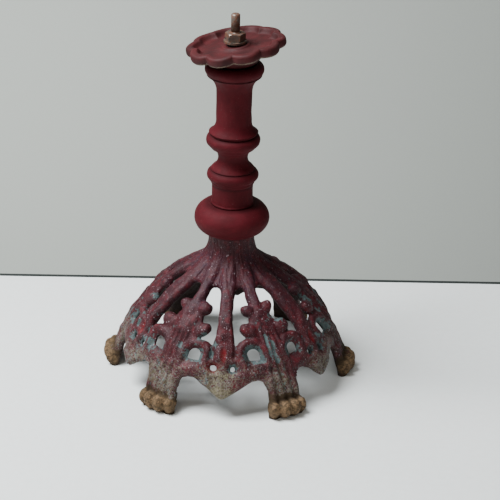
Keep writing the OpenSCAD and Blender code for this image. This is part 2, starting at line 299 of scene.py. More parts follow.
def openwork(turn, s, sizes):
    """The base's ornament as fields over the azimuth and the arc length, in millimetres.

    In one twelfth of the casting, x is the distance from a leg's middle line and y the distance
    from the pendant's. The mask is how far a point lies inside the iron: the rounded union of
    spokes, lobes, leg panel, scroll bars, sill and shield, less the openings. The height is the
    largest of each part's quarter-circle bulge. Also returns how deep each kind of hollow is.
    """
    radius, height, _, _ = shell_line(s)
    from_front = (turn + 1.5 * math.pi) % TAU - math.pi
    near_front = smooth_step(math.radians(80), math.radians(40), np.abs(from_front))
    turn = turn - np.radians(np.interp(s, *FRONT_SPREAD)) * np.sin(3 * from_front) * near_front
    fold = np.abs((turn + SECTOR / 2) % SECTOR - SECTOR / 2)
    x = radius * np.sin(fold)
    y = radius * np.sin(SECTOR / 2 - fold)
    leg_half, mid_half, lobe = (v / MM for v in (sizes.leg_spoke, sizes.mid_spoke, sizes.lobe))
    room = radius * SECTOR / 4 * 0.92
    leg_w = np.minimum(leg_half, room)
    mid_w = np.minimum(np.interp(s, *MID_SPOKE) * mid_half / MID_SPOKE_HALF, room)

    leg_spoke = np.minimum(leg_w - x, LEG_SPOKE_END - s)
    mid_spoke = np.minimum(mid_w - y, MID_SPOKE_END - s)
    upper_lobe = lobe - np.hypot(x - UPPER_LOBE[0], s - UPPER_LOBE[1])
    lower_lobe = lobe + LOWER_LOBE_EXTRA - np.hypot(x - LOWER_LOBE[0], s - LOWER_LOBE[1])
    stem = np.minimum(np.interp(s, *STEM) - x, np.minimum(s - STEM_START, STEM_END - s))
    panel = np.minimum(np.interp(s, *LEG_PANEL) - x, np.minimum(s - PANEL_START, END_S - s))
    from_scroll = np.hypot(x - SCROLL[0], np.minimum(s - SCROLL[1], 0))
    scroll_bar = np.minimum(SCROLL_BAR_R - from_scroll, SCROLL_BAR_END - s)
    sill = s - SILL_START
    shield = np.minimum(np.interp(s, *SHIELD) - y, s - SHIELD_START)

    iron = NECK_END - s
    for part, soft in ((leg_spoke, 3.5), (mid_spoke, 3.5), (stem, 2.4), (upper_lobe, 2),
                       (lower_lobe, 2.6), (scroll_bar, 2.4), (shield, 2.4), (sill, 2)):
        iron = smooth_max(iron, part, soft)
    lower_edge = height - np.interp(y, *LOWER_EDGE)
    iron = -smooth_max(-iron, -lower_edge, 1.5)
    iron = smooth_max(iron, panel, 2.4)
    opening = -smooth_max(from_scroll - SCROLL[2], s - SCROLL_SILL, 1.5)
    hole = PENDANT_HOLE[2] - np.hypot(y - PENDANT_HOLE[0], s - PENDANT_HOLE[1])
    iron = np.minimum(iron, np.minimum(-opening, -hole))

    down = smooth_step(12, 34, s)
    fan = x / np.interp(s, *LEG_FAN)
    flute = (0.5 - 0.5 * np.cos(TAU * fan / FLUTE_PITCH)) * smooth_step(70, 80, s) * (fan < FLUTED)
    ring_r, ring_half = SCROLL_RING
    ring = np.minimum(ring_half - np.abs(from_scroll - ring_r), (110 - s) * 0.8)
    bar_s, bar_half = LOW_BAR
    bar = np.minimum(bar_half - np.abs(s - bar_s), np.minimum(x - 10, y - 8))
    relief = sizes.relief / MM
    raised = down * relief * bulge(leg_w - x, leg_w) * (s < PANEL_START)
    for height_there, soft in (
            (down * relief * bulge(np.minimum(mid_w - y, MID_SPOKE_END - 2 - s), mid_w), 0.6),
            (relief * 1.25 * bulge(upper_lobe, lobe), 0.5),
            (relief * 0.8 * bulge(lower_lobe, lobe), 0.8),
            (relief * 0.75 * bulge(8.6 - x, 7) * (s > 58) * (s < STEM_END), 0.5),
            (relief * 0.75 * bulge(ring, ring_half), 0.5),
            (relief * 0.5 * bulge(bar, bar_half), 0.5),
            ((0.5 + 1.5 * flute) * bulge(panel, 3) * smooth_step(72, 84, s), 0.5),
            (relief * 0.55 * bulge(np.minimum(shield, s - 100), 5), 0.5)):
        raised = smooth_max(raised, height_there, soft)

    def hollow(middle_y, middle_s, size_y, size_s):
        """1 in the middle of an oval hollow and 0 at its rim."""
        q = ((y - middle_y) / size_y) ** 2 + ((s - middle_s) / size_s) ** 2
        return np.clip(1 - q, 0, 1) ** 1.5

    gouge = hollow(*GOUGE)
    pocket = hollow(*POCKET, POCKET[2] * 1.5)
    dimple = hollow(*PENDANT_HOLE[:2], DIMPLE_R, DIMPLE_R)
    raised = raised - 2.4 * gouge - 1.5 * pocket - 3.1 * dimple
    # The scroll's opening has a broad sloping edge
    slope = smooth_step(4.6, 0.4, -opening) * smooth_step(88, 92, s)
    raised = raised * (1 - 0.6 * slope) - 1.5 * slope
    return iron, raised, {"gouge": gouge, "pocket": pocket, "dimple": dimple, "x": x, "y": y,
                          "scroll_edge": -opening, "fold": fold, "from_front": from_front}


def toe_offset(x, s, fold):
    """How far the paw stands out past the shell: four balls side by side, cut by the floor.

    Each ball's front is its centre's reach plus the root of radius squared less the squares of
    the sideways distance, squeezed, and the upward one; the largest of the four counts.
    """
    radius, height, out, _ = shell_line(s)
    nowhere = -99.0
    reach = nowhere
    for centre, back, size in ((TOE_PITCH / 2, 0.4, TOE_R), (TOE_PITCH * 1.5, 3.2, TOE_R - 0.5)):
        left = size ** 2 - ((x - centre) * TOE_SQUEEZE) ** 2 - (height - TOE_Z) ** 2
        front = REACH - TOE_R - back + np.sqrt(np.maximum(left, 0))
        reach = np.maximum(reach, np.where(left > 0, front, nowhere))
    return (reach - radius * np.cos(fold)) / np.maximum(out, 0.3)


BASE_COLUMNS = 528
NECK_ROW_STEP, ROW_STEP = 1.8, 1.1
# Heights over the shell's line: the shared edge of both sheets, and the rise of each inside it
SKIN = -2.4
WEB_DROP, WEB_H = 10.0, 6.0
OUTER_RISE, INNER_RISE = 2.2, 3.1
RIM_WIDTH = 3.2
MAX_SLIDE = 0.7


def base_points(sizes):
    """The base as two facing sheets that share their edges, with everything inside them iron.

    Rows run down the shell and columns round it. A cell is kept where its middle lies inside the
    mask, an edge point slides along the mask's slope until the mask is 0, and a point's sheet
    stands off the shell by a quarter circle of the mask, plus the ornament's height outside.
    """
    columns = BASE_COLUMNS
    rows_s = np.concatenate([np.arange(0, 36, NECK_ROW_STEP), np.arange(36, END_S + ROW_STEP, ROW_STEP)])
    s_grid = np.repeat(rows_s[:, None], columns, 1)
    turn = np.repeat(np.arange(columns)[None, :] * TAU / columns, len(rows_s), 0)
    shape = s_grid.shape
    calm = smooth_step(30, 50, rows_s)[:, None]
    sway = 0.7 * calm * lumps(shape, 8, 3) * smooth_step(150, 132, s_grid)
    sway_s = 0.7 * calm * lumps(shape, 8, 4) * smooth_step(150, 132, s_grid)
    nibble = 0.26 * lumps(shape, 2.4, 5) * calm * smooth_step(150, 142, s_grid)

    def fields(angle, along):
        """The ornament's fields, swayed and nibbled so that no two legs are quite alike."""
        radius = shell_line(along)[0]
        iron, raised, more = openwork(angle + sway / radius, along + sway_s, sizes)
        return iron + nibble, raised, more

    iron, _, _ = fields(turn, s_grid)
    middle = 0.25 * (iron[:-1] + iron[1:])
    middle = middle + np.roll(middle, -1, axis=1)
    kept = middle > 0
    # Two kept cells that touch only at a corner get the two between them as well
    for _ in range(3):
        right = np.roll(kept, -1, axis=1)
        falling = kept[:-1] & right[1:] & ~right[:-1] & ~kept[1:]
        rising = ~kept[:-1] & ~right[1:] & right[:-1] & kept[1:]
        pinch = falling | rising
        for row in (slice(0, -1), slice(1, None)):
            kept[row] |= pinch | np.roll(pinch, 1, axis=1)

    above = np.vstack([np.ones((1, columns), bool), kept])
    below = np.vstack([kept, np.zeros((1, columns), bool)])
    around = np.stack([above, np.roll(above, 1, 1), below, np.roll(below, 1, 1)])
    edge = around.any(0) & ~around.all(0)
    edge[0] = False

    # Edge points slide to where the mask is 0, by up to a part of a cell
    slope_row = np.gradient(iron, axis=0)
    slope_column = 0.5 * (np.roll(iron, -1, 1) - np.roll(iron, 1, 1))
    steep = np.maximum(slope_row ** 2 + slope_column ** 2, 1e-6)
    slide_row = np.clip(-iron * slope_row / steep, -MAX_SLIDE, MAX_SLIDE) * edge
    slide_column = np.clip(-iron * slope_column / steep, -MAX_SLIDE, MAX_SLIDE) * edge
    step = np.gradient(rows_s)[:, None]
    s_grid = np.clip(s_grid + slide_row * step, 0, END_S)
    turn = turn + slide_column * TAU / columns

    iron, raised, more = fields(turn, s_grid)
    inside = np.where(edge, 0, np.maximum(iron, 0.35))
    rim = bulge(inside, RIM_WIDTH)
    rough = sizes.lumps / MM * (lumps(shape, 1.6, 7) + 0.8 * lumps(shape, 5, 8))
    foliage = 0.5 * lumps(shape, 2.8, 10) * smooth_step(62, 84, s_grid) * smooth_step(134, 120, s_grid)
    rough = rough + foliage
    outer = SKIN + rim * (OUTER_RISE + rough) + raised * bulge(inside, 2.2)
    toes = toe_offset(more["x"], s_grid, more["fold"]) + 0.6 * rough
    paws = smooth_max(outer, SKIN + (toes - SKIN) * bulge(inside, 1.8), 0.9)
    outer = np.where(s_grid > 128, paws, outer)
    inner = SKIN - rim * (INNER_RISE + 0.5 * rough)
    # The neck's top edge lies on the shell's own line, where the knop stands
    outer[0] = 0
    radius, height, out, up = shell_line(s_grid)

    def place(offset):
        """Points that stand off the shell's line by an offset, kept within the casting's box."""
        reach = radius + out * offset
        points = np.stack([reach * np.cos(turn), reach * np.sin(turn), height + up * offset], -1)
        return np.clip(points, [*BASE_LOW[:2], 0], BASE_HIGH)

    # How far a toe stands out: the paint lays a painted highlight where it is high and painted shade where
    # it is low
    knuckle = smooth_step(-1, 5, toes) * smooth_step(126, 134, s_grid)
    more.update(knuckle=knuckle, edge=edge, inside=inside, kept=kept, s=s_grid, height=height,
                raised=raised)
    return place(outer), place(inner), more


def base_marks(more):
    """Numbers from 0 to 1 that say which layer of paint or rust shows at each point."""
    s, z, y, from_front = more["s"], more["height"], more["y"], more["from_front"]
    shape = s.shape

    def band(start, full, fade, end):
        """1 from the full station to the fade station down the shell, and 0 outside both ends."""
        return smooth_step(start, full, s) * smooth_step(end, fade, s)

    # One of the two hollows beside the front pendant kept its red, the other its undercoat
    front_left = smooth_step(0.0, -0.03, from_front) * (np.abs(from_front) < 0.2)
    pocket, dimple = more["pocket"] ** 0.6, more["dimple"] ** 0.5
    around = smooth_step(4.8, 2.2, more["scroll_edge"]) * band(86, 92, 105, 108)
    slit = smooth_step(2.0, 0.4, more["inside"]) * band(66, 84, 112, 126)
    hollow = smooth_step(2.4, 1.0, more["raised"]) * band(66, 76, 102, 112)
    patches = np.clip(0.75 * lumps(shape, 3.4, 21) - 0.2, 0, 1)
    patches = patches * (0.35 * smooth_step(40, 76, s) + 0.65 * hollow)
    spread = 0.8 + 0.35 * lumps(shape, 6, 26)
    under = (0.8 * around + 0.35 * slit + 0.7 * pocket + 0.85 * dimple * (1 - front_left)) * spread
    front = 0.25 + 0.75 * smooth_step(0.5, 0.3, np.abs(from_front))
    cream = smooth_step(14, 8, y) * smooth_step(109, 114, s) * (0.8 + 0.25 * lumps(shape, 5, 23))
    marks = {"under": np.maximum(under, 1.1 * patches),
             "bare": smooth_step(24, 11, z + 2.2 * lumps(shape, 3, 22)),
             "dusty": smooth_step(86, 122, s) * (0.72 + 0.3 * lumps(shape, 6, 24)),
             # Painted sheen: where the greyish purple is laid on the neck and upper dome
             "painted_sheen": band(6, 18, 40, 84) * (0.62 + 0.3 * lumps(shape, 6, 25)),
             "gouge": more["gouge"] * 1.6 + dimple * front_left,
             "crest": smooth_step(1.2, 2.8, more["raised"]) * smooth_step(70, 100, s),
             "cream": cream * front, "knuckle": more["knuckle"], "inside_face": np.zeros(shape)}
    return {label: np.clip(grid, 0, 1) for label, grid in marks.items()}


def base_mesh(sizes):
    """Joins the outer sheet, the inner sheet and the rings of the neck's socket into one skin."""
    outer, inner, more = base_points(sizes)
    rows, columns = more["edge"].shape
    marks = base_marks(more)
    web = NECK_TOP - WEB_DROP
    first = int(np.argmax(inner[:, 0, 2] < web))
    rings_rz = [(SOCKET_R, NECK_TOP), (SOCKET_R, web + WEB_H), (ROD_HOLE_R, web + WEB_H), (ROD_HOLE_R, web)]
    a = np.arange(columns) * TAU / columns
    rings = np.array([np.stack([r * np.cos(a), r * np.sin(a), np.full(columns, z)], -1)
                      for r, z in rings_rz])
    count = rows * columns
    index = np.arange(count).reshape(rows, columns)
    back = np.where(more["edge"], index, index + count)
    ring_index = 2 * count + np.arange(rings.shape[0] * columns).reshape(-1, columns)

    def cells(grid, mask=None):
        """Quads between neighbouring rows and columns of an index grid, all of them or by a mask."""
        beside = np.roll(grid, -1, axis=1)
        quads = np.stack([grid[:-1], grid[1:], beside[1:], beside[:-1]], -1)
        return quads.reshape(-1, 4) if mask is None else quads[mask]

    front_quads = cells(index, more["kept"])
    back_quads = cells(back[first:], more["kept"][first:])[:, ::-1]
    neck_quads = cells(np.vstack([back[first:first + 1], ring_index[::-1], index[:1]]))
    quads = np.concatenate([front_quads, back_quads, neck_quads])
    points = np.concatenate([outer.reshape(-1, 3), inner.reshape(-1, 3), rings.reshape(-1, 3)])
    spare = len(points) - 2 * count
    values = {}
    for label, grid in marks.items():
        behind = np.ones(count) if label == "inside_face" else grid.ravel() * 0.6
        values[label] = np.concatenate([grid.ravel(), behind, np.zeros(spare)])
    alive, packed = np.unique(quads, return_inverse=True)
    quads = packed.reshape(quads.shape)
    return points[alive], quads, {label: v[alive] for label, v in values.items()}


# -------- Column --------

CORE_R = 7.0
REGISTER_R = 9.2
REGISTER_H = 3.0
REGISTER_TAPER = 0.4
SOCKET_H = REGISTER_H + 1
BEAD_TUBE = 4.6
CUP_MOUTH_R, CUP_DEPTH, CUP_FLOOR_H = 16.5, 11.0, 6.0


def spigot(bottom):
    """The spigot under a casting that stands in the socket below it, out to in."""
    return [(REGISTER_R, bottom), (REGISTER_R - REGISTER_TAPER, bottom - REGISTER_H),
            (CORE_R, bottom - REGISTER_H)]


def turned_casting(outside, top, bottom):
    """A closed outline for a casting: down the outside, then the register, the bore and the socket.

    outside runs from the socket's edge on top to the register's edge below; the bore is straight.
    """
    return np.array([*outside, *spigot(bottom), (CORE_R, top - SOCKET_H), (SOCKET_R, top - SOCKET_H),
                     (SOCKET_R, top)])


def bead_under_seam(bead_r, top, end):
    """A flat top with a round bead at its edge, whose arc runs down to the end angle."""
    r, z = bead_r - BEAD_TUBE, top - BEAD_TUBE
    return [(SOCKET_R + 0.3, top - 0.05), (r - 0.2, top - 0.05), *arc((r, z), BEAD_TUBE, 84, *end)]


def knop_outline():
    """Half of a round knop: a half circle outside, as high as the casting."""
    tube = (KNOP_TOP - NECK_TOP) / 2
    centre = (KNOP_R - tube, NECK_TOP + tube)
    outside = [(SOCKET_R + 0.3, KNOP_TOP), *arc(centre, tube, 90, -90, 40)]
    return turned_casting(outside, KNOP_TOP, NECK_TOP)


def drum_outline():
    """A straight drum with a small foot, under a fillet and a round bead."""
    bead_z = DRUM_TOP - BEAD_TUBE
    outside = [*bead_under_seam(LOWER_BEAD_R, DRUM_TOP, (-62, 28)),
               (17.6, bead_z - 4.7), (17.5, bead_z - 5.7), *arc((16.5, bead_z - 6), 0.9, 0, -70, 4),
               (16.45, bead_z - 7.4), (16.3, KNOP_TOP + 14), (16.5, KNOP_TOP + 4.5),
               *arc((17.9, KNOP_TOP + 2.6), 1.3, 170, 235, 4), (17.2, KNOP_TOP + 0.1)]
    return turned_casting(outside, DRUM_TOP, KNOP_TOP)


def waist_outline():
    """A waist hollowed by one circle between a flared foot and a round bead."""
    outside = [*bead_under_seam(UPPER_BEAD_R, WAIST_TOP, (-38, 24)),
               *arc((20.8, DRUM_TOP + 10), 9, 114, 236, 30),
               (16.9, DRUM_TOP + 1.3), (17.5, DRUM_TOP + 0.6), (17.4, DRUM_TOP + 0.1)]
    return turned_casting(outside, WAIST_TOP, DRUM_TOP)


def shaft_outline():
    """A shaft with a hollow foot, a hollow flare up to the cup, and the cup's round bulge."""
    bulge_tube = 5.0
    bulge_z = RIM - bulge_tube
    lip = bulge_z - 6
    outside = [(17.0, RIM - 0.35), *arc((CUP_R - bulge_tube, bulge_z), bulge_tube, 84, -36, 20),
               (21.7, bulge_z - 3.9), *arc((20.2, lip + 1.1), 1.0, 20, -50, 4),
               *arc((30.0, lip - 12.6), 16.0, 122, 180, 18), (13.9, WAIST_TOP + 27), (13.95, WAIST_TOP + 17),
               *arc((24.2, WAIST_TOP + 11.2), 10.2, 180, 242, 14),
               (18.7, WAIST_TOP + 1.5), (18.6, WAIST_TOP + 0.7), (18.0, WAIST_TOP + 0.1)]
    floor = RIM - CUP_DEPTH
    under = floor - CUP_FLOOR_H
    cup = [(CORE_R, under), (ROD_HOLE_R, under), (ROD_HOLE_R, floor), (15.9, floor), (16.4, floor + 0.6),
           (CUP_MOUTH_R, RIM - 0.7)]
    return np.array([*outside, *spigot(WAIST_TOP), *cup])


def spin(outline, seed, rough, columns=192):
    """Carries a closed outline round the axis, and adds a blurred unevenness to its radius.

    The unevenness is full on the outside and nothing in the bore, register and socket.
    """
    line = fill_in(outline, 0.9)
    turn = np.arange(columns) * TAU / columns
    shape = len(line), columns
    uneven = rough * (lumps(shape, 3, seed) + 1.2 * lumps(shape, 12, seed + 1))
    outer = smooth_step(13, 14, line[:, :1]) + smooth_step(11, 11.6, line[:, :1]) * 0.4
    radius = line[:, :1] + uneven * np.clip(outer, 0, 1)
    z = np.repeat(line[:, 1:], columns, 1)
    points = np.stack([radius * np.cos(turn), radius * np.sin(turn), z], -1)
    return points, grid_quads(len(line), columns, closed_rows=True)


def seam_dirt(points, seams):
    """1 close to the height of a seam or groove where dirt gathers, 0 at 1.6 mm from it."""
    near = np.min([np.abs(points[..., 2] - seam) for seam in seams], axis=0)
    return smooth_step(1.6, 0.2, near).ravel()


# -------- Cap and rod --------

LOBES = 10
CAP_REACH = 39.0
CAP_LOBE_R = 14.0
CAP_EDGE = 8.0
CAP_FLOOR = 4.0
CAP_BOSS = (11.5, 1.2)
CAP_LIFT = 9.6
CAP_LEAN = math.radians(9)
BELLY_R = 24.0
BELLY_GAP = 0.3
# The ball's centre over the cup's rim, and how far under it the cap's and the belly's undersides lie
PIVOT = RIM + math.sqrt((BELLY_R + BELLY_GAP) ** 2 - CUP_MOUTH_R ** 2)
CAP_DROP = (PIVOT - RIM - CAP_LIFT) / math.cos(CAP_LEAN)
BELLY_DROP = PIVOT - RIM + 1


def lobed_radius(turn):
    """Distance to the edge of ten circles set round the centre, at each azimuth.

    For the nearest circle it is the centre distance times the cosine of the angle between, plus
    the root of the circle's radius squared less the square of the centre distance times the sine.
    Also returns the place across the lobe, from -1 at one cleft to 1 at the other.
    """
    pitch = TAU / LOBES
    off = (turn + TAU / 4) % pitch - pitch / 2
    centre = CAP_REACH - CAP_LOBE_R
    radius = centre * np.cos(off) + np.sqrt(CAP_LOBE_R ** 2 - (centre * np.sin(off)) ** 2)
    return radius, off / pitch * 2


def cap_points(rough):
    """The cap round its ball's centre: a profile whose outer part follows the lobed edge.

    Each profile point has a share f of the lobed radius and a fixed part c, so its distance from
    the axis is f times the lobed radius plus c; the rim droops at each lobe's middle.
    """
    low, top = -CAP_DROP, CAP_EDGE - CAP_DROP
    floor = CAP_FLOOR - CAP_DROP
    bore, hollow, step = 5.93, 11.0, 0.02
    boss_r, boss_h = CAP_BOSS
    boss = floor + boss_h
    edge = [*arc((-2.6, top - 2.6), 2.6, 90, 0, 8), *arc((-3.4, low + 3.4), 3.4, 0, -90, 8)]
    ball = np.degrees(np.arcsin(np.array([-CAP_DROP, -BELLY_DROP]) / BELLY_R))
    belly = arc((0, 0), BELLY_R, *ball, 14)
    shape = [(0, bore, boss), (0, boss_r - 0.6, boss), (0, boss_r, boss - 0.6), (0, boss_r + 0.3, floor),
             (0.35, 13, floor), (1, -10, floor), (1, -8.4, floor + 0.5), (1, -7.4, floor + 1.6),
             (1, -6.6, top - 1.2), (1, -5.6, top), *((1, *point) for point in edge),
             (1, -6, low), (0.5, 10, low), (0, belly[0][0] + 0.6, low),
             *((0, *point) for point in belly),
             (0, hollow, -BELLY_DROP), (0, hollow, low - step), (0, bore, low - step)]
    line = fill_in(np.array(shape), 1.0)
    columns = 360
    turn = np.arange(columns)[None, :] * TAU / columns
    radius, across = lobed_radius(turn)
    distance = line[:, :1] * radius + line[:, 1:2]
    outer = line[:, :1] ** 2
    grid = distance.shape
    distance = distance + rough * (lumps(grid, 4, 41) + lumps(grid, 14, 42)) * outer
    sag = 0.9 * (across ** 2 - 0.5) + 0.25 * lumps(grid, 16, 43)
    z = line[:, 2:3] + outer * np.clip((distance - 24) / 12, 0, 1) * sag
    x, y = distance * np.cos(turn), distance * np.sin(turn)
    c, n = math.cos(CAP_LEAN), math.sin(CAP_LEAN)
    points = np.stack([x * c - z * n, y, PIVOT + x * n + z * c], -1)
    worn = smooth_step(low + 3.2, low + 0.6, line[:, 2:3]) * smooth_step(5, 1.5, radius - distance)
    return points.reshape(-1, 3), grid_quads(len(line), columns, closed_rows=True), {"worn": worn}


def rod_points(pitch):
    """A bar with a rolled thread near both ends: its radius dips by a cosine of height less turn.

    The crest winds up by one pitch a turn. Above the thread is a plain turned pin with a bevel.
    Both ends close on a pole with a fan of triangles.
    """
    low, high = ROD_LOW[2], ROD_HIGH[2]
    rod_r, pin_r, pin, bevel = 4.0, 3.5, 14.0, 0.8
    threads, thread_depth, fine = 10.0, 0.34, 0.125
    shoulder = high - pin
    upper = shoulder - threads
    heights = np.concatenate([np.arange(low + 0.01, low + threads, fine),
                              np.linspace(low + threads, upper, 40)[1:-1],
                              np.arange(upper, shoulder, fine), [shoulder - 0.001]])
    columns = 48
    turn = np.arange(columns)[None, :] * TAU / columns
    z = heights[:, None]
    threaded = np.clip(np.maximum(low + threads - z, z - upper) / 2, 0, 1)
    ends = np.clip(np.minimum(z - low, shoulder - z) / bevel, 0, 1)
    wave = 0.5 - 0.5 * np.cos(TAU * z / pitch - turn)
    radius = rod_r - thread_depth * threaded * wave - 0.5 * (1 - ends)
    plain_rings = np.array([pin_r, pin_r, pin_r - bevel])[:, None] + 0 * turn
    radius = np.vstack([2.0 + 0 * turn, radius, plain_rings])
    z = np.concatenate([[low], heights, [shoulder, high - bevel, high]])[:, None]
    rings = np.stack([radius * np.cos(turn), radius * np.sin(turn), np.repeat(z, columns, 1)], -1)[::-1]
    rows, count = len(z), rings.shape[0] * columns
    points = np.concatenate([rings.reshape(-1, 3), [[0, 0, high], [0, 0, low]]])
    side = np.arange(columns)
    beside, last = (side + 1) % columns, count - columns
    fans = np.concatenate([np.stack([np.full(columns, count), side, beside], 1),
                           np.stack([last + side, np.full(columns, count + 1), last + beside], 1)])
    return points, grid_quads(rows, columns), fans


# -------- Materials --------

def add(tree, kind, links=None, **settings):
    """Adds a node, sets its properties and unlinked sockets, and links its sockets to others.

    A setting's name is the property's, or the socket's with _ for each space; in_N is socket N.
    """
    node = tree.nodes.new(kind)
    for name, value in settings.items():
        if name.startswith("in_"):
            node.inputs[int(name[3:])].default_value = value
        elif hasattr(node, name):
            setattr(node, name, value)
        else:
            node.inputs[name.replace("_", " ")].default_value = value
    for socket, source in (links or {}).items():
        tree.links.new(source, node.inputs[socket])
    return node


def start_material(name):
    """A new material with an empty tree, its shader, and object coordinates."""
    material = bpy.data.materials.new(name)
    material.use_nodes = True
    tree = material.node_tree
    tree.nodes.clear()
    shader = add(tree, "ShaderNodeBsdfPrincipled")
    add(tree, "ShaderNodeOutputMaterial", {"Surface": shader.outputs[0]})
    place = add(tree, "ShaderNodeTexCoord").outputs["Object"]
    return material, tree, shader, place


def grain(place, millimetres, detail=2.0, rough=0.5):
    """Noise whose blotches are about the given size across."""
    return add(place.id_data, "ShaderNodeTexNoise", {"Vector": place}, Scale=1 / (millimetres * MM),
               Detail=detail, Roughness=rough).outputs["Fac"]


def between(value, low, high, top=1.0):
    """0 where the value is below low and top where it is above high."""
    return add(value.id_data, "ShaderNodeMapRange", {"Value": value}, clamp=True, From_Min=low,
               From_Max=high, To_Max=top).outputs["Result"]


def sums(operation, a, b):
    """One sum on two values, of which at least one is a socket and the other may be a number."""
    links = {i: v for i, v in enumerate((a, b)) if isinstance(v, bpy.types.NodeSocket)}
    numbers = {f"in_{i}": v for i, v in enumerate((a, b)) if i not in links}
    tree = next(iter(links.values())).id_data
    return add(tree, "ShaderNodeMath", links, operation=operation, **numbers).outputs[0]


def plus(a, b):
    """a + b"""
    return sums("ADD", a, b)


def minus(a, b):
    """a - b"""
    return sums("SUBTRACT", a, b)


def times(a, b):
    """a times b"""
    return sums("MULTIPLY", a, b)


def layer(share, under, over):
    """The over colour laid on the under one by a share.

    Each colour is a socket, linear numbers or an sRGB hex code.
    """
    links, settings = {"Factor": share}, {}
    for index, colour in ((6, under), (7, over)):
        if isinstance(colour, bpy.types.NodeSocket):
            links[index] = colour
        else:
            settings[f"in_{index}"] = (*(linear(colour) if isinstance(colour, str) else colour), 1)
    return add(share.id_data, "ShaderNodeMix", links, data_type="RGBA", **settings).outputs[2]


def mark(tree, label):
    """A number that the mesh carries at each point."""
    return add(tree, "ShaderNodeAttribute", attribute_name=label).outputs["Fac"]


def bump(shader, layers):
    """Bumps laid on one another, each given as a height socket and a depth in millimetres."""
    normal = None
    for height, depth in layers:
        links = {"Height": height}
        if normal is not None:
            links["Normal"] = normal
        normal = add(shader.id_data, "ShaderNodeBump", links, Strength=1.0, Distance=depth * MM).outputs[0]
    shader.id_data.links.new(normal, shader.inputs["Normal"])


def weathered_base_paint(colours):
    """Old brushed oil paint on cast iron: red over a pale undercoat, worn through, with a painted
    greyish purple sheen on the upper shell.

    It gives a soft sheen on the round spokes, pale specks where the paint has lifted, blue-green
    in the hollows, and tan rust on the paws and pendant tips, with a painted highlight on the
    knuckles and painted shade on the soles.
    """
    material, tree, shader, place = start_material("weathered_oil_paint_on_cast_iron")
    red, undercoat = tuple(colours.maroon), tuple(colours.undercoat)
    broad, patch, fleck, fine = (grain(place, size, 3) for size in (16, 4.5, 1.5, 0.6))
    dirt = grain(place, 2.6, 4, 0.65)
    speckle = grain(place, 1.5, 5, 0.75)
    dusty = mark(tree, "dusty")

    def broken(value, ragged):
        """A stored number whose edge the noise breaks up, as flaked paint is."""
        return plus(value, times(minus(dirt, 0.5), ragged))

    def shared(label, noise, low, high):
        """A stored number times where a noise passes from low to high."""
        return times(mark(tree, label), between(noise, low, high))

    colour = layer(between(broad, 0.38, 0.62), "2b0d12", red)
    colour = layer(between(patch, 0.5, 0.68, 0.75), colour, "501219")
    # Painted sheen: greyish purple laid over the red on the neck and upper dome
    colour = layer(shared("painted_sheen", dirt, 0.4, 0.62), colour, tuple(colours.painted_sheen))
    colour = layer(shared("gouge", patch, 0.3, 0.45), colour, "5e0912")
    # Dust and thin undercoat show as fine speckle that thickens down the legs
    thick = plus(speckle, times(dusty, 0.13))
    tones = layer(between(patch, 0.42, 0.58), "4b4230", "5f5a4f")
    tones = layer(between(dirt, 0.54, 0.62), tones, undercoat)
    colour = layer(times(between(thick, 0.57, 0.63), dusty), colour, tones)
    # The undercoat in the hollows, and the cream scale on the front pendant
    bare_blue = between(broken(mark(tree, "under"), 3.0), 0.56, 0.66, 0.95)
    blue = layer(between(fleck, 0.42, 0.6), "3b494b", undercoat)
    blue = layer(between(speckle, 0.55, 0.62, 0.85), blue, "33231f")
    colour = layer(bare_blue, colour, blue)
    cream = layer(between(speckle, 0.42, 0.56), "4c4531", "726a55")
    colour = layer(between(broken(mark(tree, "cream"), 2.4), 0.5, 0.68, 0.9), colour, cream)
    # Round pits where the paint has lifted down to its pale primer
    pits = add(tree, "ShaderNodeTexVoronoi", {"Vector": place}, Scale=1 / (2.7 * MM),
               Randomness=1.0).outputs["Distance"]
    pit_size = times(between(grain(place, 5, 2), 0.42, 0.62), 0.24)
    pit = between(minus(pit_size, pits), 0.0, 0.05, 0.85)
    colour = layer(pit, colour, "7d6c70")
    raised = times(plus(dusty, mark(tree, "crest")), 0.04)
    specks = between(plus(fine, raised), 0.63, 0.69, 0.8)
    colour = layer(specks, colour, "75666a")
    # Rust on the paws: tan, with a painted highlight on the knuckles, painted shade on the soles and
    # wherever the toes don't stand out, and dark pits
    bare = between(broken(mark(tree, "bare"), 1.8), 0.45, 0.66)
    knuckle = mark(tree, "knuckle")
    # Painted highlight on the knuckles
    pale = times(between(dirt, 0.44, 0.58, 0.9), knuckle)
    # Painted shade on the soles and the lower paws
    painted_sole_shade = between(minus(1.0, knuckle), 0.3, 1.0, 0.75)
    iron = layer(between(patch, 0.3, 0.6), "33271a", tuple(colours.tan))
    iron = layer(pale, iron, "745b42")
    iron = layer(painted_sole_shade, iron, "291d12")
    iron = layer(between(speckle, 0.52, 0.6, 0.75), iron, "2e2115")
    colour = layer(bare, colour, iron)
    # The inner faces of the shell are drawn dark brown
    inner_face_dark = times(mark(tree, "inside_face"), 0.8)
    colour = layer(inner_face_dark, colour, "241a15")
    tree.links.new(colour, shader.inputs["Base Color"])
    shader.inputs["Specular IOR Level"].default_value = 0.2
    rougher = plus(times(bare, 0.25), times(dirt, 0.22))
    tree.links.new(plus(0.46, rougher), shader.inputs["Roughness"])
    lifted = times(sums("MAXIMUM", bare_blue, pit), 0.5)
    bump(shader, [(minus(dirt, lifted), 0.38), (fleck, 0.28), (fine, 0.12)])
    return material


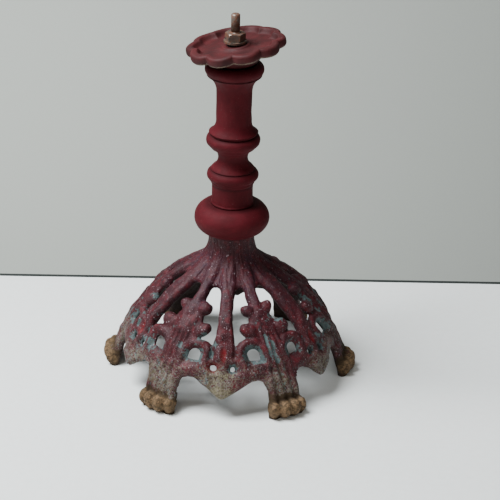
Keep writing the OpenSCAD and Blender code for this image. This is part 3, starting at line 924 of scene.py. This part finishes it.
def matt_column_paint(colours):
    """Brushed matt oil paint on turned castings: dark red, with faint blotches, pale specks of
    dust and dark dirt in the seams. It gives a soft, broad highlight and hardly any gloss.
    """
    material, tree, shader, place = start_material("matt_oil_paint_on_turned_iron")
    red = tuple(colours.red)
    broad, patch, fine = (grain(place, size, 3) for size in (14, 4, 0.9))
    colour = layer(between(broad, 0.35, 0.65), tuple(0.78 * c for c in red), red)
    colour = layer(between(patch, 0.55, 0.72, 0.5), colour, "4f151a")
    colour = layer(times(mark(tree, "dirt"), 0.5), colour, "1a0507")
    colour = layer(between(fine, 0.71, 0.75, 0.7), colour, "6f5a58")
    tree.links.new(colour, shader.inputs["Base Color"])
    shader.inputs["Specular IOR Level"].default_value = 0.1
    roughness = plus(0.6, times(patch, 0.2))
    tree.links.new(roughness, shader.inputs["Roughness"])
    bump(shader, [(patch, 0.12), (grain(place, 1.6, 3), 0.12), (fine, 0.06)])
    return material


def worn_cap_paint(colours):
    """The same matt red on the lobed cap, rubbed through to brown iron along its lower edge."""
    material, tree, shader, place = start_material("matt_oil_paint_on_lobed_cap")
    broad, patch, fine = (grain(place, size, 3) for size in (12, 3.2, 0.9))
    colour = layer(between(broad, 0.35, 0.65), "2f1011", "421517")
    ragged = times(minus(patch, 0.5), 1.6)
    rubbed = between(plus(mark(tree, "worn"), ragged), 0.6, 0.8, 0.9)
    iron = layer(between(fine, 0.4, 0.6), "43342a", "66584a")
    colour = layer(rubbed, colour, iron)
    colour = layer(between(fine, 0.72, 0.76, 0.6), colour, "7a6866")
    tree.links.new(colour, shader.inputs["Base Color"])
    shader.inputs["Specular IOR Level"].default_value = 0.18
    tree.links.new(plus(0.52, times(patch, 0.24)), shader.inputs["Roughness"])
    bump(shader, [(patch, 0.25), (fine, 0.08)])
    return material


def rusty_old_steel(colours):
    """Wrought steel hardware with a brown film of rust: dull metal where it is handled and
    rough, dark orange-brown patches elsewhere.
    """
    material, tree, shader, place = start_material("rusted_drawn_steel")
    patch, fine = grain(place, 3, 4), grain(place, 0.5, 2)
    rust = between(patch, 0.4, 0.58)
    brown = layer(between(fine, 0.35, 0.65), "3a241a", "6e4026")
    tree.links.new(layer(rust, tuple(colours.steel), brown), shader.inputs["Base Color"])
    tree.links.new(minus(0.9, times(rust, 0.8)), shader.inputs["Metallic"])
    tree.links.new(plus(0.42, times(rust, 0.4)), shader.inputs["Roughness"])
    bump(shader, [(patch, 0.12), (fine, 0.08)])
    return material


def stage_material(name, colour, size, roughness=0.85):
    """A plain painted sheet with a faint grain, drawn at the given size in millimetres.

    A low roughness gives a satin sheen, so that the table mirrors the stand softly.
    """
    material, tree, shader, place = start_material(name)
    tone = grain(place, size, 3)
    shaded = layer(between(tone, 0.3, 0.7), tuple(0.965 * c for c in colour), tuple(colour))
    tree.links.new(shaded, shader.inputs["Base Color"])
    shader.inputs["Roughness"].default_value = roughness
    bump(shader, [(tone, 0.05)])
    return material


# -------- Operators --------

class STAND_OT_base(bpy.types.Operator):
    """Builds the openwork base casting on its six paws"""
    bl_idname = "stand.base"
    bl_label = "Openwork base"

    def execute(self, context):
        points, quads, marks = base_mesh(context.scene.stand_sizes)
        piece = make_mesh("openwork_base", points, quads, marks)
        finish_piece(piece, "base_casting", "stand",
                     weathered_base_paint(context.scene.stand_colours))
        return {"FINISHED"}


class STAND_OT_column(bpy.types.Operator):
    """Builds the knop, drum, waist and shaft castings of the column"""
    bl_idname = "stand.column"
    bl_label = "Turned column"

    def execute(self, context):
        rough = context.scene.stand_sizes.lumps / MM * 0.45
        material = matt_column_paint(context.scene.stand_colours)
        seams = (NECK_TOP, KNOP_TOP + 0.4, 162.6, DRUM_TOP, WAIST_TOP, RIM - 9.8)
        castings = (("round_knop", "knop_collar", knop_outline),
                    ("beaded_drum", "drum_section", drum_outline),
                    ("hollow_waist", "waist_section", waist_outline),
                    ("shaft_and_cup", "shaft_cup_section", shaft_outline))
        for place, (name, node, outline) in enumerate(castings):
            points, quads = spin(outline(), 60 + 5 * place, rough)
            piece = make_mesh(name, points.reshape(-1, 3), quads, {"dirt": seam_dirt(points, seams)})
            finish_piece(piece, node, "stand", material)
        return {"FINISHED"}


class STAND_OT_cap(bpy.types.Operator):
    """Builds the loose lobed cap with its ball-shaped belly"""
    bl_idname = "stand.cap"
    bl_label = "Lobed cap"

    def execute(self, context):
        piece = make_mesh("loose_lobed_cap", *cap_points(context.scene.stand_sizes.lumps / MM * 0.8))
        finish_piece(piece, "lobed_cap", "cap",
                     worn_cap_paint(context.scene.stand_colours))
        return {"FINISHED"}


class STAND_OT_hardware(bpy.types.Operator):
    """Builds the threaded tie rod and gives the plate, nuts and washers their old steel"""
    bl_idname = "stand.hardware"
    bl_label = "Rod and fasteners"

    def execute(self, context):
        steel = rusty_old_steel(context.scene.stand_colours)
        points, quads, fans = rod_points(context.scene.stand_sizes.thread_pitch / MM)
        piece = make_mesh("threaded_tie_rod", points, quads, fans=fans)
        finish_piece(piece, "tie_rod", "stand", steel)
        for node in ("clamp_plate", "bottom_nut", "cup_washer", "cup_nut", "cap_washer", "cap_nut"):
            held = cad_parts[node]
            held.data.materials.clear()
            held.data.materials.append(steel)
        return {"FINISHED"}


def sheet(name, corners, material):
    """A flat stage sheet from four corners, in metres, that isn't part of the stand."""
    piece = make_mesh(name, np.array(corners) / MM, np.array([[0, 1, 2, 3]]))
    piece.data.materials.append(material)


def soft_light(name, place, target, size, watts, tint):
    """A square soft light that looks at the target."""
    data = bpy.data.lights.new(name, "AREA")
    data.size, data.energy, data.color = size, watts, linear(tint)
    light = bpy.data.objects.new(name, data)
    light.location = place
    light.rotation_euler = (Vector(target) - Vector(place)).to_track_quat("-Z", "Y").to_euler()
    bpy.context.scene.collection.objects.link(light)


class STAND_OT_stage(bpy.types.Operator):
    """Sets out the table, the grey board beyond it, the soft lights and the camera"""
    bl_idname = "stand.stage"
    bl_label = "Studio"

    def execute(self, context):
        colours = context.scene.stand_colours
        # The table ends 156 mm behind the column, at an edge turned a little from the X axis, and
        # the board stands well beyond it, so that a camera behind the stand has room
        turn = math.radians(3.71)
        along = Vector((math.cos(turn), math.sin(turn), 0))
        foot = Vector((-math.sin(turn), math.cos(turn), 0)) * 0.1557
        left, right = foot - along * 2.2, foot + along * 2.2
        up, towards = Vector((0, 0, 1.6)), Vector((math.sin(turn), -math.cos(turn), 0))
        sheet("table_top", [left + towards * 3, right + towards * 3, right, left],
              stage_material("painted_table_top", tuple(colours.floor), 6, 0.38))
        beyond, down = -towards * 2.45, Vector((0, 0, -1.4))
        card = stage_material("matt_card", tuple(colours.board), 3)
        far_left, far_right = left * 1.6 + beyond, right * 1.6 + beyond
        sheet("grey_board", [far_left + down, far_right + down, far_right + up, far_left + up], card)
        sheet("room_floor", [left * 1.6 + towards * 4 + down, right * 1.6 + towards * 4 + down,
                             far_right + down, far_left + down], card)
        # A dark strip 2.4 mm tall at the table's back edge is a painted shadow, the dark line of a gap at
        # the board's foot
        gap = towards * 0.0015
        rise = Vector((0, 0, 0.0024))
        sheet("painted_shadow_strip", [left + gap, right + gap, right + gap + rise, left + gap + rise],
              stage_material("shadow_gap", linear("2b302e"), 5))
        soft_light("window_above", (-0.6, -0.16, 1.22), (0.0, 0.0, 0.1), 0.7, 50, "f6fbff")
        soft_light("room_fill", (-0.1, -1.4, 1.3), (0.0, 0.0, 0.1), 1.4, 6, "fff8ee")
        soft_light("board_wash", (-1.0, 0.9, -0.5), (-0.2, 2.6, -0.9), 0.8, 54, "f6faf8")
        world = bpy.data.worlds.new("studio_air")
        world.use_nodes = True
        world.node_tree.nodes["Background"].inputs["Color"].default_value = (*linear("e8eaea"), 1)
        world.node_tree.nodes["Background"].inputs["Strength"].default_value = 0.24
        context.scene.world = world

        heading, pitch, roll = (math.radians(v) for v in (-2.777, 25.537, 1.394))
        forward = Vector((math.sin(heading) * math.cos(pitch), math.cos(heading) * math.cos(pitch),
                          -math.sin(pitch)))
        level = Vector((math.cos(heading), -math.sin(heading), 0))
        upright = level.cross(forward)
        side = math.cos(roll) * level + math.sin(roll) * upright
        top = -math.sin(roll) * level + math.cos(roll) * upright
        data = bpy.data.cameras.new("camera")
        data.lens, data.sensor_width = 129.6, 36
        data.clip_start, data.clip_end = 0.05, 20
        camera = bpy.data.objects.new("camera", data)
        place = Vector((0.0788, -1.3111, 0.7316))
        camera.matrix_world = Matrix.Translation(place) @ Matrix((side, top, -forward)).transposed().to_4x4()
        context.scene.collection.objects.link(camera)
        context.scene.camera = camera
        return {"FINISHED"}


class STAND_PT_panel(bpy.types.Panel):
    """Lists the pieces of the stand, their sizes and their colours"""
    bl_idname = "STAND_PT_panel"
    bl_label = "Pedestal Stand"
    bl_space_type = "VIEW_3D"
    bl_region_type = "UI"
    bl_category = "Stand"

    def draw(self, context):
        for group in (context.scene.stand_sizes, context.scene.stand_colours):
            box = self.layout.box()
            for name in group.__annotations__:
                box.prop(group, name)
        for operator in OPERATORS:
            self.layout.operator(operator.bl_idname)


OPERATORS = (STAND_OT_base, STAND_OT_column, STAND_OT_cap, STAND_OT_hardware, STAND_OT_stage)
CLASSES = (StandSizes, StandColours, *OPERATORS, STAND_PT_panel)


def register():
    for cls in CLASSES:
        bpy.utils.register_class(cls)
    bpy.types.Scene.stand_sizes = bpy.props.PointerProperty(type=StandSizes)
    bpy.types.Scene.stand_colours = bpy.props.PointerProperty(type=StandColours)


def unregister():
    del bpy.types.Scene.stand_colours
    del bpy.types.Scene.stand_sizes
    for cls in reversed(CLASSES):
        bpy.utils.unregister_class(cls)


def main():
    """Registers the add-on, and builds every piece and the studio."""
    register()
    bpy.ops.stand.base()
    bpy.ops.stand.column()
    bpy.ops.stand.cap()
    bpy.ops.stand.hardware()
    bpy.ops.stand.stage()


if __name__ == "__main__":
    main()
